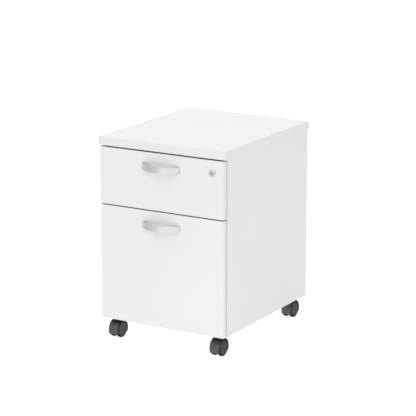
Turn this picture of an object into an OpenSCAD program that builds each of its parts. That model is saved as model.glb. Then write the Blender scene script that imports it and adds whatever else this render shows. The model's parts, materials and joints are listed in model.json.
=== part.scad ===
/* [Cabinet] */
// Width of the top panel
top_w = 423; // [416:1:440]
// Depth from the drawer faces to the back
body_d = 500; // [495:1:540]
// Height from the floor to the top surface
total_h = 606; // [602:1:630]
// Thickness of the top panel
top_t = 25; // [22:1:28]
// How far the top panel overhangs each side panel
top_overhang = 5; // [2:0.5:8]
// Thickness of the side, bottom and back panels
panel_t = 16; // [15:1:18]
// Radius of the panels' visible corners
corner_r = 2; // [1:0.5:4]

/* [Drawers] */
// Thickness of the drawer fronts
front_t = 16; // [15:1:18]
// Gap between the top panel and the upper drawer front
top_gap = 4; // [3:0.5:5]
// Gap between the two drawer fronts
front_gap = 3; // [2:0.5:4]
// Gap between a drawer front and the side panels behind it
face_gap = 2.5; // [2:0.5:4]
// Height of the upper drawer front
upper_front_h = 168; // [165:1:175]
// Height of the upper drawer's sides
upper_box_h = 100; // [80:1:105]
// Height of the lower drawer's sides
lower_box_h = 270; // [200:1:275]
// Thickness of the drawer's sides and back
box_t = 12; // [10:1:13]
// Thickness of the drawer's bottom
base_t = 5; // [3:1:6]
// Length of the slides
slide_l = 450; // [400:1:455]

/* [Handles] */
// Length of a handle from end to end
handle_l = 126; // [120:1:140]
// Height of a handle's strap
handle_h = 19.5; // [14:0.5:22]
// How far a handle stands out from the drawer face
handle_out = 26; // [24:1:32]
// Thickness of a handle's strap
handle_t = 3; // [2.5:0.5:4]
// Distance between a handle's two screws
handle_screws = 96; // [90:1:98]
// Distance from a drawer front's top edge down to its handle
handle_drop = 42; // [38:1:45]

/* [Lock] */
// Distance of the lock from the cabinet's middle
lock_x = 169; // [150:1:172]
// Distance from the upper drawer front's top edge down to the lock
lock_drop = 37; // [36:1:39]
// Diameter of the lock's bezel
lock_d = 24; // [20:1:26]

/* [Casters] */
// Height of the casters from the floor to the bottom panel
caster_h = 63; // [61:1:66]
// Diameter of a caster wheel
wheel_d = 50; // [46:1:50]
// Width across a caster's two wheels
caster_w = 32; // [30:1:36]
// Distance of a caster's swivel axis from the cabinet's middle
caster_x = 172; // [150:1:172]
// Distance of a caster's swivel axis from the front or back
caster_inset = 47; // [46:1:80]
// Distance of a wheel's axle from the swivel axis
caster_trail = 13; // [11:1:15]

/* [Hidden] */
$fn = 48;
cut = 1;                  // how far a cutting shape runs past the face it cuts
running_fit = 0.05;       // radial clearance of a shaft that turns in a bore

// Levels and depths of the case
face_y = (handle_out - body_d) / 2;
back_y = face_y + body_d;
top_under_z = total_h - top_t;
body_w = top_w - 2 * top_overhang;
inner_w = body_w - 2 * panel_t;
case_y = face_y + front_t + face_gap;
floor_z = caster_h + panel_t;

// The lock rail across the top of the opening
rail_t = 12;
rail_h = 22;

// Dowels that join the panels
dowel_d = 8;
dowel_l = 30;
dowel_bite = 10;
side_dowels = [
    for (y = [face_y + 100, back_y - 100]) [y, caster_h + panel_t / 2],
    for (z = [0.25, 0.5, 0.9]) [back_y - panel_t / 2, caster_h + z * (top_under_z - caster_h)],
    [case_y + rail_t / 2, top_under_z - rail_h / 2]
];

// The two drawers, upper then lower
DRAWERS = ["upper", "lower"];
SIDES = ["left", "right"];
lower_front_h = top_under_z - caster_h - top_gap - front_gap - upper_front_h;
front_h = [upper_front_h, lower_front_h];
front_z = [caster_h + lower_front_h + front_gap, caster_h];
box_h = [upper_box_h, lower_box_h];
box_z = [front_z[0] + 12, floor_z + 10];
slide_z = [box_z[0] + 35, box_z[1] + 40];
box_y = face_y + front_t;
box_l = slide_l + 5;
groove_z = 10;            // height of the drawer bottom above the box's lower edge
groove_depth = 5;

// Ball-bearing slides: three nested C-section rails on each side
slide_space = 12.7;
slide_wall = 1.2;
slide_y = case_y + 2;
outer_rail = [9.5, 45];   // width and height
middle_rail = [8.5, 38];
inner_rail = [8, 31];
middle_offset = 2.5;      // from the side panel to the middle rail's web
box_w = inner_w - 2 * slide_space;
slide_screw_d = 3.6;
slide_screw_l = 10;
slide_screw_head = [7, 0.9];
slide_screw_y = [slide_y + 30, slide_y + slide_l / 2, slide_y + slide_l - 40];

// Handles: a strap bent to an arc, with a boss behind it at each screw
bow_r = (pow(handle_l / 2, 2) + pow(handle_out, 2)) / (2 * handle_out);
boss_r = 3.8;
handle_screw_d = 4;
handle_screw_bite = 7;
handle_screw_head = [8, 2];

// Lock: a bezel and sleeve fixed in the front, and a plug that turns a cam
lock_z = front_z[0] + front_h[0] - lock_drop;
bezel_t = 4;
bezel_face_d = 16;        // the bezel narrows to this at its front
sleeve_d = 18;
sleeve_end_y = face_y + front_t + 5;
plug_d = 12;
tail_d = 8;
cam_t = 2;
cam_y = case_y + rail_t + 0.8;
cam_reach = 30;
cam_w = 13;
keyway = [8.4, 5, 1.8];    // width, depth and height
keyway_peak = [2.4, 1.3];  // width and height of the notch above its middle

// Casters
CORNERS = [for (row = ["front", "rear"]) for (side = SIDES) str(row, "_", side)];
wheel_r = wheel_d / 2;
wheel_clear = 0.5;
hood_wall = 2;
hood_d = wheel_d + 2 * (wheel_clear + hood_wall);
hood_edge_z = wheel_r - 13;
web_w = 12;
web_boss_d = 18;
wheel_side_gap = 0.3;
wheel_w = (caster_w - web_w) / 2 - wheel_side_gap;
axle_d = 6;
caster_plate = 38;
caster_plate_t = 2.5;
caster_plate_z = caster_h - caster_plate_t;
neck_d = 19;
neck_top_z = caster_plate_z - 0.3;
pin_d = 7;
pin_end_z = wheel_r + 11;
caster_screw_at = 14;
caster_screw_d = 4;
caster_screw_bite = 12;
caster_screw_head = [7, 2];

// ---------- shared shapes ----------

// A box between two opposite corners
module block(low, high) {
    translate(low) cube(high - low);
}

// A flat outline with round corners, centred on the origin
module round_outline(w, h, r) {
    square([w - 2 * r, h], center = true);
    square([w, h - 2 * r], center = true);
    for (x = [-1, 1]) {
        for (y = [-1, 1]) {
            translate([x * (w / 2 - r), y * (h / 2 - r)]) circle(r = r);
        }
    }
}

// A screw along +Z with its head's underside at z = 0 and its shank going down
module screw(shank_d, shank_l, head) {
    translate([0, 0, -shank_l]) cylinder(d = shank_d, h = shank_l);
    cylinder(d = head[0], h = head[1]);
}

// Draws its children at the left side, or mirrored at the right side
module at_side(side) {
    mirror([side == 1 ? 1 : 0, 0, 0]) children();
}

// ---------- case ----------

module dowel_set() {
    for (side = [0, 1]) {
        at_side(side) {
            for (at = side_dowels) {
                translate([-inner_w / 2 - dowel_bite, at[0], at[1]])
                    rotate([0, 90, 0])
                        cylinder(d = dowel_d, h = dowel_l);
            }
            for (y = [face_y + 100, back_y - 100]) {
                translate([-(body_w - panel_t) / 2, y, top_under_z + dowel_bite - dowel_l])
                    cylinder(d = dowel_d, h = dowel_l);
            }
        }
    }
}

module top_panel() {
    color("white") difference() {
        translate([0, (face_y + back_y) / 2, top_under_z])
            linear_extrude(top_t)
                round_outline(top_w, body_d, corner_r);
        dowel_set();
    }
}

module side_panel(side) {
    color("gainsboro") difference() {
        at_side(side) block([-body_w / 2, case_y, caster_h], [-inner_w / 2, back_y, top_under_z]);
        dowel_set();
        outer_screw_set();
    }
}

module bottom_panel() {
    color("gainsboro") difference() {
        block([-inner_w / 2, case_y, caster_h], [inner_w / 2, back_y - panel_t, floor_z]);
        dowel_set();
        caster_screw_set();
    }
}

module back_panel() {
    color("gainsboro") difference() {
        block([-inner_w / 2, back_y - panel_t, caster_h], [inner_w / 2, back_y, top_under_z]);
        dowel_set();
    }
}

module lock_rail() {
    color("gainsboro") difference() {
        block([-inner_w / 2, case_y, top_under_z - rail_h], [inner_w / 2, case_y + rail_t, top_under_z]);
        dowel_set();
    }
}

module panel_dowels() {
    color("burlywood") dowel_set();
}

// ---------- slides ----------

// A C-section rail along +Y with its web on the low-x side
module c_rail(size) {
    difference() {
        translate([0, 0, -size[1] / 2]) cube([size[0], slide_l, size[1]]);
        translate([slide_wall, -cut, slide_wall - size[1] / 2])
            cube([size[0], slide_l + 2 * cut, size[1] - 2 * slide_wall]);
    }
}

module outer_screw_set() {
    for (side = [0, 1]) {
        at_side(side) {
            for (z = slide_z) {
                for (y = slide_screw_y) {
                    translate([-inner_w / 2 + slide_wall, y, z])
                        rotate([0, 90, 0])
                            screw(slide_screw_d, slide_screw_l + slide_wall, slide_screw_head);
                }
            }
        }
    }
}

module slide_outer_screws() {
    color("silver") outer_screw_set();
}

module slide_outer(drawer, side) {
    color("silver") difference() {
        at_side(side) translate([-inner_w / 2, slide_y, slide_z[drawer]]) c_rail(outer_rail);
        outer_screw_set();
    }
}

module slide_middle(drawer, side) {
    color("darkgray") at_side(side)
        translate([-inner_w / 2 + middle_offset, slide_y, slide_z[drawer]])
            c_rail(middle_rail);
}

module inner_screw_set(drawer) {
    for (side = [0, 1]) {
        at_side(side) {
            for (y = slide_screw_y) {
                translate([-box_w / 2 - slide_wall, y, slide_z[drawer]])
                    rotate([0, -90, 0])
                        screw(slide_screw_d, slide_screw_l, slide_screw_head);
            }
        }
    }
}

module slide_inner_screws(drawer) {
    color("silver") inner_screw_set(drawer);
}

module slide_inner(drawer, side) {
    color("silver") difference() {
        at_side(side) translate([-box_w / 2, slide_y, slide_z[drawer]])
            mirror([1, 0, 0])
                c_rail(inner_rail);
        inner_screw_set(drawer);
    }
}

// ---------- drawers ----------

module drawer_base_shape(drawer) {
    half_w = box_w / 2 - box_t + groove_depth;
    low_z = box_z[drawer] + groove_z;
    block([-half_w, box_y, low_z], [half_w, box_y + box_l - box_t, low_z + base_t]);
}

module drawer_side(drawer, side) {
    color("whitesmoke") difference() {
        at_side(side) block(
            [-box_w / 2, box_y, box_z[drawer]],
            [box_t - box_w / 2, box_y + box_l, box_z[drawer] + box_h[drawer]]
        );
        drawer_base_shape(drawer);
        inner_screw_set(drawer);
    }
}

module drawer_back(drawer) {
    half_w = box_w / 2 - box_t;
    color("whitesmoke") block(
        [-half_w, box_y + box_l - box_t, box_z[drawer]],
        [half_w, box_y + box_l, box_z[drawer] + box_h[drawer]]
    );
}

module drawer_bottom(drawer) {
    color("whitesmoke") drawer_base_shape(drawer);
}

module drawer_front(drawer) {
    color("white") difference() {
        translate([0, face_y + front_t, front_z[drawer] + front_h[drawer] / 2])
            rotate([90, 0, 0])
                linear_extrude(front_t)
                    round_outline(body_w, front_h[drawer], corner_r);
        handle_screw_set(drawer);
        if (drawer == 0) lock_sleeve();
    }
}

// ---------- handles ----------

// How far the bow's outer face stands out at a distance x from its middle
function bow_depth(x) = sqrt(pow(bow_r, 2) - pow(x, 2)) - bow_r + handle_out;

// The strap seen from above, with the drawer face along y = 0
module bow_outline() {
    difference() {
        translate([0, bow_r - handle_out]) circle(r = bow_r, $fn = 180);
        translate([0, bow_r - handle_out]) circle(r = bow_r - handle_t, $fn = 180);
        translate([-handle_l, 0]) square([2 * handle_l, 2 * bow_r]);
    }
}

module handle_screw_set(drawer) {
    z = front_z[drawer] + front_h[drawer] - handle_drop;
    for (x = [-0.5, 0.5] * handle_screws) {
        translate([x, face_y + front_t, z])
            rotate([-90, 0, 0])
                screw(handle_screw_d, front_t + handle_screw_bite, handle_screw_head);
    }
}

module handle(drawer) {
    z = front_z[drawer] + front_h[drawer] - handle_drop;
    boss_l = bow_depth(handle_screws / 2 + boss_r) - handle_t / 4;
    color("silver") difference() {
        union() {
            translate([0, face_y, z - handle_h / 2]) linear_extrude(handle_h) bow_outline();
            for (x = [-0.5, 0.5] * handle_screws) {
                translate([x, face_y, z]) rotate([90, 0, 0]) cylinder(r = boss_r, h = boss_l);
            }
        }
        handle_screw_set(drawer);
    }
}

module handle_screw_pair(drawer) {
    color("silver") handle_screw_set(drawer);
}

// ---------- lock ----------

// A round bar along Y on the lock's axis
module lock_bar(d, y0, y1) {
    translate([lock_x, y1, lock_z]) rotate([90, 0, 0]) cylinder(d = d, h = y1 - y0);
}

module lock_sleeve() {
    lock_bar(sleeve_d, face_y, sleeve_end_y);
}

module lock_housing() {
    color("silver") difference() {
        union() {
            lock_sleeve();
            translate([lock_x, face_y, lock_z])
                rotate([90, 0, 0])
                    cylinder(d1 = lock_d, d2 = bezel_face_d, h = bezel_t);
        }
        lock_bar(plug_d + 2 * running_fit, face_y - bezel_t - cut, sleeve_end_y + cut);
    }
}

module lock_plug() {
    plug_front_y = face_y - bezel_t + 0.4;
    color("dimgray") difference() {
        union() {
            lock_bar(plug_d, plug_front_y, cam_y);
            lock_bar(tail_d, cam_y, cam_y + cam_t + 1);
        }
        translate([lock_x - keyway[0] / 2, plug_front_y - cut, lock_z - keyway[2] / 2])
            cube([keyway[0], keyway[1] + cut, keyway[2]]);
        translate([lock_x - keyway_peak[0] / 2, plug_front_y - cut, lock_z])
            cube([keyway_peak[0], keyway[1] + cut, keyway[2] / 2 + keyway_peak[1]]);
    }
}

module lock_cam() {
    color("silver") difference() {
        union() {
            lock_bar(cam_w, cam_y, cam_y + cam_t);
            block(
                [lock_x - cam_reach, cam_y, lock_z - cam_w / 2],
                [lock_x, cam_y + cam_t, lock_z + cam_w / 2]
            );
        }
        lock_bar(tail_d, cam_y - cut, cam_y + cam_t + cut);
    }
}

// ---------- casters ----------

// Draws its children about the swivel axis of one corner, with the axle on the outward side
module at_corner(corner) {
    row = corner < 2 ? -1 : 1;
    swivel_y = row < 0 ? face_y + caster_inset : back_y - caster_inset;
    x = (corner % 2 == 0 ? -1 : 1) * caster_x;
    translate([x, swivel_y, 0]) mirror([0, row < 0 ? 0 : 1, 0]) children();
}

// A round bar along X on a caster's axle line
module axle_bar(d, x0, x1) {
    translate([x0, -caster_trail, wheel_r]) rotate([0, 90, 0]) cylinder(d = d, h = x1 - x0);
}

module caster_screw_set() {
    for (corner = [0:3]) {
        at_corner(corner) {
            for (x = [-1, 1] * caster_screw_at) {
                for (y = [-1, 1] * caster_screw_at) {
                    translate([x, y, caster_plate_z])
                        mirror([0, 0, 1])
                            screw(caster_screw_d, caster_plate_t + caster_screw_bite, caster_screw_head);
                }
            }
        }
    }
}

module caster_screws() {
    color("silver") caster_screw_set();
}

module caster_plate(corner) {
    color("silver") difference() {
        at_corner(corner) {
            translate([0, 0, caster_plate_z])
                linear_extrude(caster_plate_t)
                    round_outline(caster_plate, caster_plate, corner_r);
            translate([0, 0, pin_end_z]) cylinder(d = pin_d, h = caster_h - pin_end_z);
        }
        caster_screw_set();
    }
}

module caster_hood(corner) {
    color("dimgray") at_corner(corner) difference() {
        union() {
            difference() {
                union() {
                    axle_bar(hood_d, -caster_w / 2, caster_w / 2);
                    translate([0, 0, wheel_r]) cylinder(d = neck_d, h = neck_top_z - wheel_r);
                }
                axle_bar(wheel_d + 2 * wheel_clear, -caster_w / 2 - cut, -web_w / 2);
                axle_bar(wheel_d + 2 * wheel_clear, web_w / 2, caster_w / 2 + cut);
                block([-caster_w, -2 * hood_d, -hood_d], [caster_w, hood_d, hood_edge_z]);
            }
            axle_bar(web_boss_d, -web_w / 2, web_w / 2);
        }
        axle_bar(axle_d, -caster_w, caster_w);
        translate([0, 0, pin_end_z - cut])
            cylinder(d = pin_d + 2 * running_fit, h = neck_top_z - pin_end_z + 2 * cut);
    }
}

module caster_axle(corner) {
    color("silver") at_corner(corner) axle_bar(axle_d, 1 - caster_w / 2, caster_w / 2 - 1);
}

// A disc with a chamfered outer rim, a ring groove in its outer face and a blind bore
module wheel_shape() {
    bore_r = axle_d / 2 + running_fit;
    bore_end = wheel_w - 0.9;
    inner_rim = 1;
    outer_rim = 2.2;
    groove_r = wheel_r - outer_rim - 1.3;
    groove = [0.8, 1.5];      // width and depth
    rotate_extrude($fn = 96) difference() {
        polygon([
            [0, bore_end],
            [bore_r, bore_end],
            [bore_r, 0],
            [wheel_r - inner_rim, 0],
            [wheel_r, inner_rim],
            [wheel_r, wheel_w - outer_rim],
            [wheel_r - outer_rim, wheel_w],
            [0, wheel_w]
        ]);
        translate([groove_r, wheel_w - groove[1]]) square([groove[0], groove[1] + cut]);
    }
}

module caster_wheel(corner, side) {
    color("darkslategray") at_corner(corner) at_side(side)
        translate([-web_w / 2 - wheel_side_gap, -caster_trail, wheel_r])
            rotate([0, -90, 0])
                wheel_shape();
}

// ---------- assembly ----------

top_panel();
side_panel(0);  // left_side_panel
side_panel(1);  // right_side_panel
bottom_panel();
back_panel();
lock_rail();
panel_dowels();
slide_outer_screws();
lock_housing();
lock_plug();
lock_cam();
caster_screws();

for (d = [0, 1]) {
    for (s = [0, 1]) {
        side_name = str(DRAWERS[d], "_", SIDES[s]);
        slide_outer(d, s);
        slide_middle(d, s);
        slide_inner(d, s);
        drawer_side(d, s);
    }
    drawer_front(d);
    drawer_back(d);
    drawer_bottom(d);
    handle(d);
    handle_screw_pair(d);
    slide_inner_screws(d);
}

for (c = [0:3]) {
    caster_plate(c);
    caster_hood(c);
    caster_axle(c);
    for (s = [0, 1]) {
        caster_wheel(c, s);
    }
}
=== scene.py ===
"""Looks of the rolling pedestal cabinet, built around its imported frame."""
import json
import math

import bmesh
import bpy
from mathutils import Matrix, Vector


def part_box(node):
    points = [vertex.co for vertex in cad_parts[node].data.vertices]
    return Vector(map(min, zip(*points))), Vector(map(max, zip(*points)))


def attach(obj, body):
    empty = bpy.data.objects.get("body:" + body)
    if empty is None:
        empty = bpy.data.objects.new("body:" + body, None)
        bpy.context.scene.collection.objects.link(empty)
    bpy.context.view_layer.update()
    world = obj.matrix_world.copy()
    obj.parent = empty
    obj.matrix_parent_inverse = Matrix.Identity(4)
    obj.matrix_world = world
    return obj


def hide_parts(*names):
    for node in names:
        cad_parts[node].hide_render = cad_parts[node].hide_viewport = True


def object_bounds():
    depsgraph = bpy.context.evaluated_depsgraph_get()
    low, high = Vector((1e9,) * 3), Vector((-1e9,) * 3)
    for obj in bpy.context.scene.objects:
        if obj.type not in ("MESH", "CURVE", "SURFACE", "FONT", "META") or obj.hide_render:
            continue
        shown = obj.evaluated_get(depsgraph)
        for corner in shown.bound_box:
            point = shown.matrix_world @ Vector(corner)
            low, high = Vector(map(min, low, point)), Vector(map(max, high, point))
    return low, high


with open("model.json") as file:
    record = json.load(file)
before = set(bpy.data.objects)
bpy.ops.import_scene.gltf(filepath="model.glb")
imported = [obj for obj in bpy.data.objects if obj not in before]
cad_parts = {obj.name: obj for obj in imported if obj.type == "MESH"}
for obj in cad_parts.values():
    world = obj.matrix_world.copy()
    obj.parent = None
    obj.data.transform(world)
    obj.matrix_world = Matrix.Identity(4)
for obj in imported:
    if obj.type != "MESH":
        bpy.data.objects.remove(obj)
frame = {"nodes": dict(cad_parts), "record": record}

MM = 0.001
CAD_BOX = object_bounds()
LOW, HIGH = Vector(CAD_BOX[0]), Vector(CAD_BOX[1])
CENTRE = (LOW + HIGH) / 2

# The camera's place about the cabinet
CAMERA_AZIMUTH = 30.53
CAMERA_ELEVATION = 14.12
CAMERA_DISTANCE = 5.462
CAMERA_LENS = 159.6
AIM_RIGHT = 0.0133
AIM_UP = 0.0634

# Studio light
SKY_BASE = 0.46
SKY_OVERHEAD = 1.05
SKY_FRONT = 0.02
SKY_RIGHT = 0.42
FLOOR_GLOW = 0.81
FLOOR_LEVEL = 0.27
FLOOR_SIZE = 30.0
# Painted bright pool and dim patch in the floor's glow, which shape the handles' reflections
BRIGHT_POOL = (1.3, -2.2, 0.0)
BRIGHT_MORE = 0.20
BRIGHT_REACH = (2.9, 2.9, 2.9)
DIM_POOL = (-2.35, -1.45, 0.0)
DIM_LESS = 0.35
DIM_REACH = (2.2, 2.8, 2.2)

# Edge radii of the made-up panels
TOP_EDGE = 1.0 * MM
CASE_EDGE = 0.8 * MM
FRONT_EDGE = 1.8 * MM
PANEL_EDGES = {
    "top_panel": TOP_EDGE,
    "left_side_panel": CASE_EDGE,
    "right_side_panel": CASE_EDGE,
    "back_panel": CASE_EDGE,
    "bottom_panel": CASE_EDGE,
    "lock_rail": CASE_EDGE,
    "upper_drawer_front": FRONT_EDGE,
    "lower_drawer_front": FRONT_EDGE,
}

# Edge radii of the nodes that are shown as they come, by material slot
EASED_SLOTS = {"drawer_board": 0.6 * MM, "caster_hood_plastic": 0.3 * MM}

# Handles
STRAP_T = 3.0 * MM
STRAP_EDGE = 0.7 * MM
STRAP_CORNER = 3.0 * MM
BOSS_AT = 48 * MM
BOSS_R = 3.8 * MM
BOSS_EDGE = 0.4 * MM
BOSS_HOLE_R = 2 * MM
STRAP_STEPS = 72

# Lock
SLEEVE_R = 9 * MM
BEZEL_RIM = 0.5 * MM
BEZEL_LIP = 0.15 * MM
PLUG_PLAY = 0.05 * MM
LOCK_SEGMENTS = 64
KEYWAY = (8.4 * MM, 5 * MM, 1.8 * MM)
KEYWAY_PEAK = (2.4 * MM, 1.3 * MM)
CAM_STUB_R = 4 * MM
PLUG_SEGMENTS = 48

# Casters
WHEEL_SEGMENTS = 96
WHEEL_BORE_R = 3.05 * MM
WHEEL_EDGE = 2.2 * MM
WHEEL_COVER_T = 0.9 * MM
RING_DEPTH = 1.6 * MM
RING_IN = 3.4 * MM


# ---------- material building blocks ----------

class Shading:
    """A new node material with short ways to add and join its nodes."""

    def __init__(self, name):
        self.material = bpy.data.materials.new(name)
        self.material.use_nodes = True
        self.nodes = self.material.node_tree.nodes
        self.links = self.material.node_tree.links
        self.shader = self.nodes["Principled BSDF"]

    def node(self, kind, **inputs):
        made = self.nodes.new(kind)
        for name, value in inputs.items():
            made.inputs[name.replace("_", " ")].default_value = value
        return made

    def join(self, output, target):
        self.links.new(output, target)

    def position(self, stretch=(1, 1, 1)):
        """Places in the object's own space, squeezed along each axis."""
        where = self.node("ShaderNodeTexCoord")
        mapping = self.node("ShaderNodeMapping")
        mapping.inputs["Scale"].default_value = stretch
        self.join(where.outputs["Object"], mapping.inputs["Vector"])
        return mapping.outputs["Vector"]

    def noise(self, scale, detail=3.0, stretch=(1, 1, 1), roughness=0.55):
        made = self.node("ShaderNodeTexNoise", Scale=scale, Detail=detail, Roughness=roughness)
        self.join(self.position(stretch), made.inputs["Vector"])
        return made.outputs["Fac"]

    def spread(self, value, low, high, start=0.3, end=0.7):
        """Maps a 0-to-1 value onto a range."""
        made = self.node("ShaderNodeMapRange")
        made.inputs["From Min"].default_value = start
        made.inputs["From Max"].default_value = end
        made.inputs["To Min"].default_value = low
        made.inputs["To Max"].default_value = high
        self.join(value, made.inputs["Value"])
        return made.outputs["Result"]

    def tint(self, value, dark, light, start=0.3, end=0.7):
        """Maps a 0-to-1 value onto a run between two colours."""
        made = self.node("ShaderNodeValToRGB")
        made.color_ramp.elements[0].position = start
        made.color_ramp.elements[0].color = (*dark, 1)
        made.color_ramp.elements[1].position = end
        made.color_ramp.elements[1].color = (*light, 1)
        self.join(value, made.inputs["Fac"])
        return made.outputs["Color"]

    def painted_gap_shade(self, output, reach, darkest):
        """Painted shade: darkens a colour deep in a narrow gap, so that the gap reads as a dark
        line.
        """
        openness = self.node("ShaderNodeAmbientOcclusion", Distance=reach)
        openness.samples = GAP_SAMPLES
        level = self.spread(openness.outputs["AO"], darkest, 1.0, *GAP_OPENNESS)
        return self.scaled(output, level)

    def scaled(self, colour, level):
        """A colour made darker by a 0-to-1 value."""
        made = self.node("ShaderNodeVectorMath")
        made.operation = "SCALE"
        self.join(colour, made.inputs["Vector"])
        self.join(level, made.inputs["Scale"])
        return made.outputs["Vector"]

    def colour(self, output):
        self.join(output, self.shader.inputs["Base Color"])

    def roughness(self, output):
        self.join(output, self.shader.inputs["Roughness"])

    def bump(self, heights, depth, strength=1.0):
        """Adds one more layer of surface relief on top of those already there."""
        made = self.node("ShaderNodeBump", Distance=depth, Strength=strength)
        self.join(heights, made.inputs["Height"])
        normal = self.shader.inputs["Normal"]
        if normal.is_linked:
            self.join(normal.links[0].from_socket, made.inputs["Normal"])
        self.join(made.outputs["Normal"], normal)


FILM_WARMTH = -0.008
# Painted gap shade: how far it reaches, how dark it goes and how many samples it takes
GAP_SHADE_REACH = 12 * MM
GAP_SHADE_DARKEST = 0.12
GAP_SAMPLES = 8
GAP_OPENNESS = (0.05, 0.5)  # a spot is darkest below the first and untouched above the second
HOOD_SHADE_Z = (36 * MM, 52 * MM)  # painted shade: the hoods turn from light below the first height to dark above the second


def grey(level, warmth=0.0):
    """A near-neutral colour, warmer when warmth is positive."""
    return (level * (1 + warmth), level, level * (1 - warmth))


# ---------- materials ----------

def melamine(name, level, gloss_low, gloss_high):
    """White melamine film: a faint pearl relief, slow tone drift, a few soft scuffs, and painted
    shade deep in narrow gaps.
    """
    s = Shading(name)
    drift = s.noise(3.0, detail=4)
    film = s.tint(drift, grey(level * 0.985, FILM_WARMTH), grey(level * 1.01, FILM_WARMTH))
    # painted shade: the film darkens deep in narrow gaps
    s.colour(s.painted_gap_shade(film, GAP_SHADE_REACH, GAP_SHADE_DARKEST))
    smears = s.noise(18.0, detail=6, stretch=(1, 1, 2.5))
    s.roughness(s.spread(smears, gloss_low, gloss_high))
    s.bump(s.noise(900.0, detail=2), 0.05 * MM, 0.35)
    s.bump(s.noise(120.0, detail=2), 0.08 * MM, 0.12)
    s.shader.inputs["Specular IOR Level"].default_value = 0.35
    return s.material


def edge_band(name, level):
    """Plastic edging: smoother than the film, with fine lines left by trimming it, and painted shade
    deep in narrow gaps.
    """
    s = Shading(name)
    lines = s.noise(60.0, detail=5, stretch=(1, 1, 30))
    plastic = s.tint(lines, grey(level * 0.985, FILM_WARMTH), grey(level, FILM_WARMTH))
    # painted shade: the edging darkens deep in narrow gaps
    s.colour(s.painted_gap_shade(plastic, GAP_SHADE_REACH, GAP_SHADE_DARKEST))
    s.roughness(s.spread(lines, 0.32, 0.42))
    s.bump(lines, 0.03 * MM, 0.25)
    s.shader.inputs["Specular IOR Level"].default_value = 0.35
    return s.material


def brushed_metal(name, dark, light, rough_low, rough_high, stretch):
    """Metal with fine brush lines: the stretch is large across the lines."""
    s = Shading(name)
    lines = s.noise(140.0, detail=6, stretch=stretch, roughness=0.7)
    clouds = s.noise(45.0, detail=3)
    s.colour(s.tint(clouds, dark, light))
    s.roughness(s.spread(lines, rough_low, rough_high))
    s.bump(lines, 0.02 * MM, 0.3)
    s.shader.inputs["Metallic"].default_value = 1.0
    return s.material


def zinc_plate(name):
    """Bright zinc plating with its faint mottling."""
    s = Shading(name)
    spangle = s.node("ShaderNodeTexVoronoi", Scale=160.0)
    s.join(s.position(), spangle.inputs["Vector"])
    s.colour(s.tint(spangle.outputs["Distance"], grey(0.52, -0.03), grey(0.66, -0.02), 0.0, 0.6))
    s.roughness(s.spread(s.noise(70.0, detail=5), 0.28, 0.45))
    s.bump(s.noise(400.0), 0.02 * MM, 0.3)
    s.shader.inputs["Metallic"].default_value = 1.0
    return s.material


def moulded_plastic(name, level, rough_low, rough_high, grain, shine=0.3):
    """Dark nylon with spark-eroded grain, dusty in its rougher patches."""
    s = Shading(name)
    dust = s.noise(35.0, detail=6)
    s.colour(s.tint(dust, grey(level * 0.85, -0.01), grey(level * 1.25, 0.005)))
    s.roughness(s.spread(dust, rough_low, rough_high))
    s.bump(s.noise(grain, detail=4), 0.06 * MM, 0.4)
    s.shader.inputs["Specular IOR Level"].default_value = shine
    return s.material


def hood_plastic():
    """The casters' nylon, with painted shade: darker towards the top, under the cabinet, and on the
    cut ends.
    """
    s = Shading("hood_plastic")
    dust = s.noise(35.0, detail=6)
    plastic = s.tint(dust, grey(0.090, -0.01), grey(0.128, 0.005))
    where = s.node("ShaderNodeTexCoord")
    place = s.node("ShaderNodeSeparateXYZ")
    s.join(where.outputs["Object"], place.inputs["Vector"])
    facing = s.node("ShaderNodeSeparateXYZ")
    s.join(where.outputs["Normal"], facing.inputs["Vector"])
    sideways = s.node("ShaderNodeMath")
    sideways.operation = "ABSOLUTE"
    s.join(facing.outputs["X"], sideways.inputs[0])
    # Painted shade: darker towards the top and on the faces turned along the axle
    shade_by_height = s.spread(place.outputs["Z"], 1.0, 0.1, *HOOD_SHADE_Z)
    shade_on_ends = s.spread(sideways.outputs["Value"], 1.0, 0.08, 0.6, 0.9)
    s.colour(s.scaled(s.scaled(plastic, shade_by_height), shade_on_ends))
    s.roughness(s.spread(dust, 0.5, 0.7))
    s.bump(s.noise(1500.0, detail=4), 0.06 * MM, 0.4)
    s.shader.inputs["Specular IOR Level"].default_value = 0.12
    return s.material


def bare_wood(name):
    """Beech dowel, grain along its length."""
    s = Shading(name)
    grain = s.noise(90.0, detail=6, stretch=(0.15, 1, 1))
    s.colour(s.tint(grain, (0.50, 0.34, 0.20), (0.72, 0.54, 0.34)))
    s.roughness(s.spread(grain, 0.5, 0.7))
    s.bump(grain, 0.05 * MM, 0.4)
    return s.material


TREAD = moulded_plastic("wheel_tread", 0.006, 0.6, 0.75, 700.0, shine=0.03)
# Painted shade: a near-black colour for the keyway's walls and floor, which stand in deep shade
KEYWAY_PAINTED_SHADE = moulded_plastic("keyway_shadow", 0.008, 0.6, 0.8, 2000.0, shine=0.03)
PANEL_FILM = melamine("panel_film", 0.87, 0.36, 0.48)
PANEL_EDGE = edge_band("panel_edge", 0.86)
NICKEL = brushed_metal("satin_nickel", grey(0.64), grey(0.68), 0.26, 0.36, (0.3, 0.3, 18))
BEZEL_NICKEL = brushed_metal("bezel_nickel", grey(0.70), grey(0.75), 0.55, 0.68, (18, 18, 1))
MATERIALS = {
    "white_melamine": PANEL_FILM,
    "drawer_board": melamine("drawer_film", 0.80, 0.45, 0.6),
    "dowel_wood": bare_wood("beech"),
    "satin_nickel": NICKEL,
    "lock_core": brushed_metal("lock_core", grey(0.72), grey(0.76), 0.45, 0.55, (20, 20, 1)),
    "zinc_steel": zinc_plate("zinc_plate"),
    "caster_hood_plastic": hood_plastic(),
    "caster_wheel_plastic": moulded_plastic("wheel_plastic", 0.060, 0.5, 0.65, 900.0, shine=0.15),
}


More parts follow.
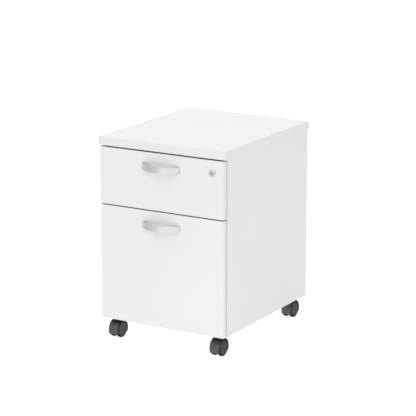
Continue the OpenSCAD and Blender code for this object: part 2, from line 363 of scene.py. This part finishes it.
def finish_cad_nodes():
    """Gives every CAD node the material of its slot, and eases the edges of some."""
    for entry in frame["record"]["subparts"]:
        node = frame["nodes"][entry["node"]]
        node.data.materials.clear()
        node.data.materials.append(MATERIALS[entry["material_slot"]])
        edge = EASED_SLOTS.get(entry["material_slot"])
        if edge:
            ease = node.modifiers.new("eased_edges", "BEVEL")
            ease.width = edge
            ease.segments = 2
            ease.limit_method = "ANGLE"
            ease.angle_limit = math.radians(40)
            ease.harden_normals = True


# ---------- pieces ----------

def body_with(node):
    """The name of the body that a CAD node belongs to."""
    bodies = frame["record"]["behaviour"]["bodies"]
    return next(body for body, nodes in bodies.items() if node in nodes)


def stand_for(name, mesh, materials, node):
    """Shows a finished mesh in place of one CAD node."""
    for shape in mesh.polygons:
        shape.use_smooth = True
    for material in materials:
        mesh.materials.append(material)
    piece = bpy.data.objects.new(name, mesh)
    bpy.context.scene.collection.objects.link(piece)
    even = piece.modifiers.new("even_shading", "WEIGHTED_NORMAL")
    even.keep_sharp = True
    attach(piece, body_with(node))
    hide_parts(node)
    return piece


def mesh_from(bm, name):
    bmesh.ops.recalc_face_normals(bm, faces=bm.faces)
    mesh = bpy.data.meshes.new(name)
    bm.to_mesh(mesh)
    bm.free()
    return mesh


def rounded_panel(node, edge):
    """A board with eased edges: film on its two broad faces and edging all round."""
    low, high = (Vector(corner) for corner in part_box(node))
    size = high - low
    bm = bmesh.new()
    bmesh.ops.create_cube(bm, size=1)
    bmesh.ops.scale(bm, vec=size, verts=bm.verts)
    bmesh.ops.translate(bm, vec=(low + high) / 2, verts=bm.verts)
    bmesh.ops.bevel(bm, geom=bm.edges[:], offset=edge, segments=4, profile=0.5, affect="EDGES")
    bm.normal_update()
    thin = min(range(3), key=lambda axis: size[axis])
    for face in bm.faces:
        face.material_index = 0 if abs(face.normal[thin]) > 0.9 else 1
    stand_for(node + "_board", mesh_from(bm, node), (PANEL_FILM, PANEL_EDGE), node)


def revolve(bm, profile, place, segments, closed=True):
    """Turns (radius, along) points about the Z axis and moves the ring to its place."""
    rings = []
    for radius, along in profile:
        ring = []
        for step in range(segments):
            turn = 2 * math.pi * step / segments
            spot = Vector((radius * math.cos(turn), radius * math.sin(turn), along))
            ring.append(bm.verts.new(place @ spot))
        rings.append(ring)
    pairs = list(zip(rings, rings[1:]))
    if closed:
        pairs.append((rings[-1], rings[0]))
    for near, far in pairs:
        for step in range(segments):
            after = (step + 1) % segments
            bm.faces.new((near[step], near[after], far[after], far[step]))


def arc(centre, radius, start, end, steps):
    """Points on an arc, in degrees, ends included."""
    turns = [math.radians(start + (end - start) * i / steps) for i in range(steps + 1)]
    return [(centre[0] + radius * math.cos(t), centre[1] + radius * math.sin(t)) for t in turns]


def strap_section(half_h, thick, edge):
    """The strap's rounded cross-section as (distance from the outer face, height) points."""
    corners = ((edge, half_h - edge, 90), (edge, edge - half_h, 180),
               (thick - edge, edge - half_h, 270), (thick - edge, half_h - edge, 0))
    points = []
    for depth, height, start in corners:
        points += arc((depth, height), edge, start, start + 90, 3)
    return points


def bow_handle(node):
    """A strap bent to an arc that ends on the drawer face, with a boss at each screw."""
    low, high = (Vector(corner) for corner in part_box(node))
    half_l = (high.x - low.x) / 2
    out = high.y - low.y
    half_h = (high.z - low.z) / 2
    middle_z = (high.z + low.z) / 2
    bow_r = (half_l ** 2 + out ** 2) / (2 * out)
    sink = bow_r - out
    bm = bmesh.new()
    rings = []
    for step in range(STRAP_STEPS + 1):
        along = 2 * step / STRAP_STEPS - 1
        from_end = half_l * (1 - abs(along))
        trim = 0.0
        if from_end < STRAP_CORNER:
            trim = STRAP_CORNER - math.sqrt(STRAP_CORNER ** 2 - (STRAP_CORNER - from_end) ** 2)
        ring = []
        for depth, height in strap_section(half_h - trim, STRAP_T, STRAP_EDGE):
            radius = bow_r - depth
            turn = along * math.acos(sink / radius)
            spot_y = high.y + sink - radius * math.cos(turn)
            ring.append(bm.verts.new((radius * math.sin(turn), spot_y, middle_z + height)))
        rings.append(ring)
    count = len(rings[0])
    for near, far in zip(rings, rings[1:]):
        for i in range(count):
            bm.faces.new((near[i], near[(i + 1) % count], far[(i + 1) % count], far[i]))
    bm.faces.new(rings[0])
    bm.faces.new(rings[-1])
    boss_l = math.sqrt(bow_r ** 2 - (BOSS_AT + BOSS_R) ** 2) - sink - STRAP_T / 3
    for side in (-1, 1):
        place = Matrix.Translation((side * BOSS_AT, high.y, middle_z))
        place = place @ Matrix.Rotation(math.pi / 2, 4, "X")
        profile = [(BOSS_HOLE_R, 0), (BOSS_R - BOSS_EDGE, 0), (BOSS_R, BOSS_EDGE)]
        profile += [(BOSS_R, boss_l), (BOSS_HOLE_R, boss_l)]
        revolve(bm, profile, place, 32)
    stand_for(node + "_bow", mesh_from(bm, node), (NICKEL,), node)


def lock_bezel():
    """A turned sleeve with a bezel that narrows to a flat ring around the plug."""
    low, high = (Vector(corner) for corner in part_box("lock_housing"))
    plug_low, plug_high = (Vector(corner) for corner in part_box("lock_plug"))
    face_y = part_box("upper_drawer_front")[0][1]
    bore = (plug_high.x - plug_low.x) / 2 + PLUG_PLAY
    rim = (high.x - low.x) / 2
    proud = face_y - low.y
    depth = high.y - face_y
    profile = [(bore, -depth), (SLEEVE_R, -depth), (SLEEVE_R, 0), (rim, 0), (rim, BEZEL_RIM)]
    profile += arc((rim - BEZEL_RIM, BEZEL_RIM), BEZEL_RIM, 0, 60, 3)
    profile += [(bore + 2.6 * MM, proud - 0.3 * MM), (bore + 2.2 * MM, proud)]
    profile += [(bore + BEZEL_LIP, proud), (bore, proud - BEZEL_LIP)]
    place = Matrix.Translation(((low.x + high.x) / 2, face_y, (low.z + high.z) / 2))
    place = place @ Matrix.Rotation(math.pi / 2, 4, "X")
    bm = bmesh.new()
    revolve(bm, profile, place, LOCK_SEGMENTS)
    stand_for("lock_bezel", mesh_from(bm, "lock_bezel"), (BEZEL_NICKEL,), "lock_housing")


def caster_wheel(node, outward):
    """A moulded wheel: black crowned tread, sunk ring, and a flat cover over the axle's end."""
    low, high = (Vector(corner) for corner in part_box(node))
    centre = (low + high) / 2
    radius = (high.z - low.z) / 2
    width = high.x - low.x
    edge = WHEEL_EDGE
    cover = radius - RING_IN
    sunk = width - RING_DEPTH
    profile = [(WHEEL_BORE_R, width - WHEEL_COVER_T), (WHEEL_BORE_R, 0)]
    profile += [(radius - 4 * MM, 0), (radius - 1 * MM, 0.3 * MM)]
    profile += [(radius - 0.25 * MM, 1.2 * MM), (radius, width / 2), (radius, width - edge)]
    profile += arc((radius - edge, width - edge), edge, 15, 75, 4)
    profile += [(cover + 0.5 * MM, sunk), (cover - 0.1 * MM, sunk)]
    tread_rings = len(profile) - 1
    profile += arc((cover - 0.9 * MM, width - 0.9 * MM), 0.8 * MM, 0, 90, 4)
    profile += [(0.6 * radius, width), (0.56 * radius, width - 0.15 * MM)]
    profile += [(1 * MM, width - 0.1 * MM)]
    inner_x = low.x if outward > 0 else high.x
    place = Matrix.Translation((inner_x, centre.y, centre.z))
    place = place @ Matrix.Rotation(outward * math.pi / 2, 4, "Y")
    bm = bmesh.new()
    revolve(bm, profile, place, WHEEL_SEGMENTS, closed=False)
    for ring in (0, len(profile) - 1):
        start = ring * WHEEL_SEGMENTS
        bm.verts.ensure_lookup_table()
        bm.faces.new(bm.verts[start:start + WHEEL_SEGMENTS])
    bm.faces.ensure_lookup_table()
    for index, face in enumerate(bm.faces):
        face.material_index = 0 if index // WHEEL_SEGMENTS < tread_rings else 1
    materials = (TREAD, MATERIALS["caster_wheel_plastic"])
    stand_for(node + "_disc", mesh_from(bm, node), materials, node)


def lock_face():
    """The plug: a disc with a wide, peaked keyway whose walls and floor are painted near black as
    shade, and a stub for the cam.
    """
    low, high = (Vector(corner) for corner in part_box("lock_plug"))
    centre_x = (low.x + high.x) / 2
    centre_z = (low.z + high.z) / 2
    cam_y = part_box("lock_cam")[0][1]
    half_w, half_h = KEYWAY[0] / 2, KEYWAY[2] / 2
    peak = KEYWAY_PEAK[0] / 2
    peak_z = half_h + KEYWAY_PEAK[1]
    slot = [(-half_w, -half_h), (half_w, -half_h), (half_w, half_h), (peak, half_h),
            (peak, peak_z), (-peak, peak_z), (-peak, half_h), (-half_w, half_h)]
    bm = bmesh.new()

    def loop(points, y):
        return [bm.verts.new((centre_x + x, y, centre_z + z)) for x, z in points]

    def edges_of(verts):
        return [bm.edges.new(pair) for pair in zip(verts, verts[1:] + verts[:1])]

    def wall(near, far, material=0):
        for i in range(len(near)):
            after = (i + 1) % len(near)
            bm.faces.new((near[i], near[after], far[after], far[i])).material_index = material

    def round_points(radius):
        turns = [2 * math.pi * step / PLUG_SEGMENTS for step in range(PLUG_SEGMENTS)]
        return [(radius * math.cos(turn), radius * math.sin(turn)) for turn in turns]

    body = round_points((high.x - low.x) / 2)
    stub = round_points(CAM_STUB_R)
    rings = [loop(body, low.y), loop(body, cam_y), loop(stub, cam_y), loop(stub, high.y)]
    slot_front = loop(slot, low.y)
    slot_back = loop(slot, low.y + KEYWAY[1])
    bmesh.ops.triangle_fill(bm, edges=edges_of(rings[0]) + edges_of(slot_front), use_beauty=True)
    for near, far in zip(rings, rings[1:]):
        wall(near, far)
    bm.faces.new(rings[-1])
    # Painted shade: the keyway's walls and floor take the near-black material
    wall(slot_front, slot_back, material=1)
    bm.faces.new(slot_back).material_index = 1
    materials = (MATERIALS["lock_core"], KEYWAY_PAINTED_SHADE)
    stand_for("lock_face", mesh_from(bm, "lock_face"), materials, "lock_plug")


# ---------- studio ----------

def pool(s, centre, reach):
    """A soft oval patch on the floor, used for the painted bright pool and dim patch: 1 around its
    centre, 0 at its rim.
    """
    where = s.node("ShaderNodeTexCoord")
    mapping = s.node("ShaderNodeMapping")
    mapping.vector_type = "TEXTURE"
    mapping.inputs["Location"].default_value = centre
    mapping.inputs["Scale"].default_value = reach
    ball = s.node("ShaderNodeTexGradient")
    ball.gradient_type = "SPHERICAL"
    s.join(where.outputs["Object"], mapping.inputs["Vector"])
    s.join(mapping.outputs["Vector"], ball.inputs["Vector"])
    level = s.node("ShaderNodeMapRange")
    level.interpolation_type = "SMOOTHSTEP"
    level.inputs["From Max"].default_value = 0.5
    s.join(ball.outputs["Fac"], level.inputs["Value"])
    return level.outputs["Result"]


def sum_of(s, base, *terms):
    """Adds up (output, weight) terms on top of a base number."""
    total = base
    for output, weight in terms:
        made = s.node("ShaderNodeMath")
        made.operation = "MULTIPLY_ADD"
        s.join(output, made.inputs[0])
        made.inputs[1].default_value = weight
        if isinstance(total, float):
            made.inputs[2].default_value = total
        else:
            s.join(total, made.inputs[2])
        total = made.outputs["Value"]
    return total


def make_floor():
    """A pale floor that glows to read as white, with a painted pool of light in front of the cabinet
    and a painted dim patch to its left.
    """
    bm = bmesh.new()
    bmesh.ops.create_grid(bm, x_segments=1, y_segments=1, size=FLOOR_SIZE)
    floor = bpy.data.objects.new("floor", mesh_from(bm, "floor"))
    bpy.context.scene.collection.objects.link(floor)
    s = Shading("pale_floor")
    s.shader.inputs["Base Color"].default_value = (*grey(FLOOR_LEVEL), 1)
    s.shader.inputs["Roughness"].default_value = 0.9
    s.shader.inputs["Specular IOR Level"].default_value = 0.0
    s.shader.inputs["Emission Color"].default_value = (1, 1, 1, 1)
    bright = pool(s, BRIGHT_POOL, BRIGHT_REACH)
    dim = pool(s, DIM_POOL, DIM_REACH)
    # Painted light and shade: the glow is raised in the bright pool and lowered in the dim patch
    glow = sum_of(s, FLOOR_GLOW, (bright, BRIGHT_MORE), (dim, -DIM_LESS))
    s.join(glow, s.shader.inputs["Emission Strength"])
    floor.data.materials.append(s.material)


class Sky:
    """The studio's surroundings, with the same short ways to join nodes as a material."""

    def __init__(self):
        self.world = bpy.data.worlds.new("studio")
        self.world.use_nodes = True
        self.nodes = self.world.node_tree.nodes
        self.links = self.world.node_tree.links

    node = Shading.node
    join = Shading.join


def make_world():
    """Soft light from all round: strongest overhead, weakest from the cabinet's right."""
    sky = Sky()
    where = sky.node("ShaderNodeTexCoord")
    axes = sky.node("ShaderNodeSeparateXYZ")
    sky.join(where.outputs["Generated"], axes.inputs["Vector"])
    rightward = sky.node("ShaderNodeMath")
    rightward.operation = "MAXIMUM"
    rightward.inputs[1].default_value = 0.0
    sky.join(axes.outputs["X"], rightward.inputs[0])
    terms = (
        (axes.outputs["Z"], SKY_OVERHEAD),
        (axes.outputs["Y"], -SKY_FRONT),
        (rightward.outputs["Value"], -SKY_RIGHT),
    )
    background = sky.nodes["Background"]
    background.inputs["Color"].default_value = (1, 1, 1, 1)
    sky.join(sum_of(sky, SKY_BASE, *terms), background.inputs["Strength"])
    bpy.context.scene.world = sky.world


def make_camera():
    azimuth = math.radians(CAMERA_AZIMUTH)
    elevation = math.radians(CAMERA_ELEVATION)
    right = Vector((math.cos(azimuth), math.sin(azimuth), 0))
    ahead = Vector((
        -math.sin(azimuth) * math.cos(elevation),
        math.cos(azimuth) * math.cos(elevation),
        -math.sin(elevation),
    ))
    up = right.cross(ahead)
    aim = CENTRE + right * AIM_RIGHT + up * AIM_UP
    data = bpy.data.cameras.new("camera")
    data.lens = CAMERA_LENS
    data.sensor_width = 36
    data.clip_end = 100
    camera = bpy.data.objects.new("camera", data)
    camera.matrix_world = Matrix.Translation(aim - ahead * CAMERA_DISTANCE) @ Matrix((
        (right.x, up.x, -ahead.x, 0),
        (right.y, up.y, -ahead.y, 0),
        (right.z, up.z, -ahead.z, 0),
        (0, 0, 0, 1),
    ))
    bpy.context.scene.collection.objects.link(camera)
    bpy.context.scene.camera = camera


# ---------- the cabinet ----------

finish_cad_nodes()
for board, edge in PANEL_EDGES.items():
    rounded_panel(board, edge)
for pull in ("upper_handle", "lower_handle"):
    bow_handle(pull)
lock_bezel()
lock_face()
for row in ("front", "rear"):
    for corner in ("left", "right"):
        for side, outward in (("left", -1), ("right", 1)):
            caster_wheel(f"{row}_{corner}_caster_{side}_wheel", outward)

make_floor()
make_world()
make_camera()
bpy.context.scene.view_settings.view_transform = "Standard"
bpy.context.scene.view_settings.look = "None"
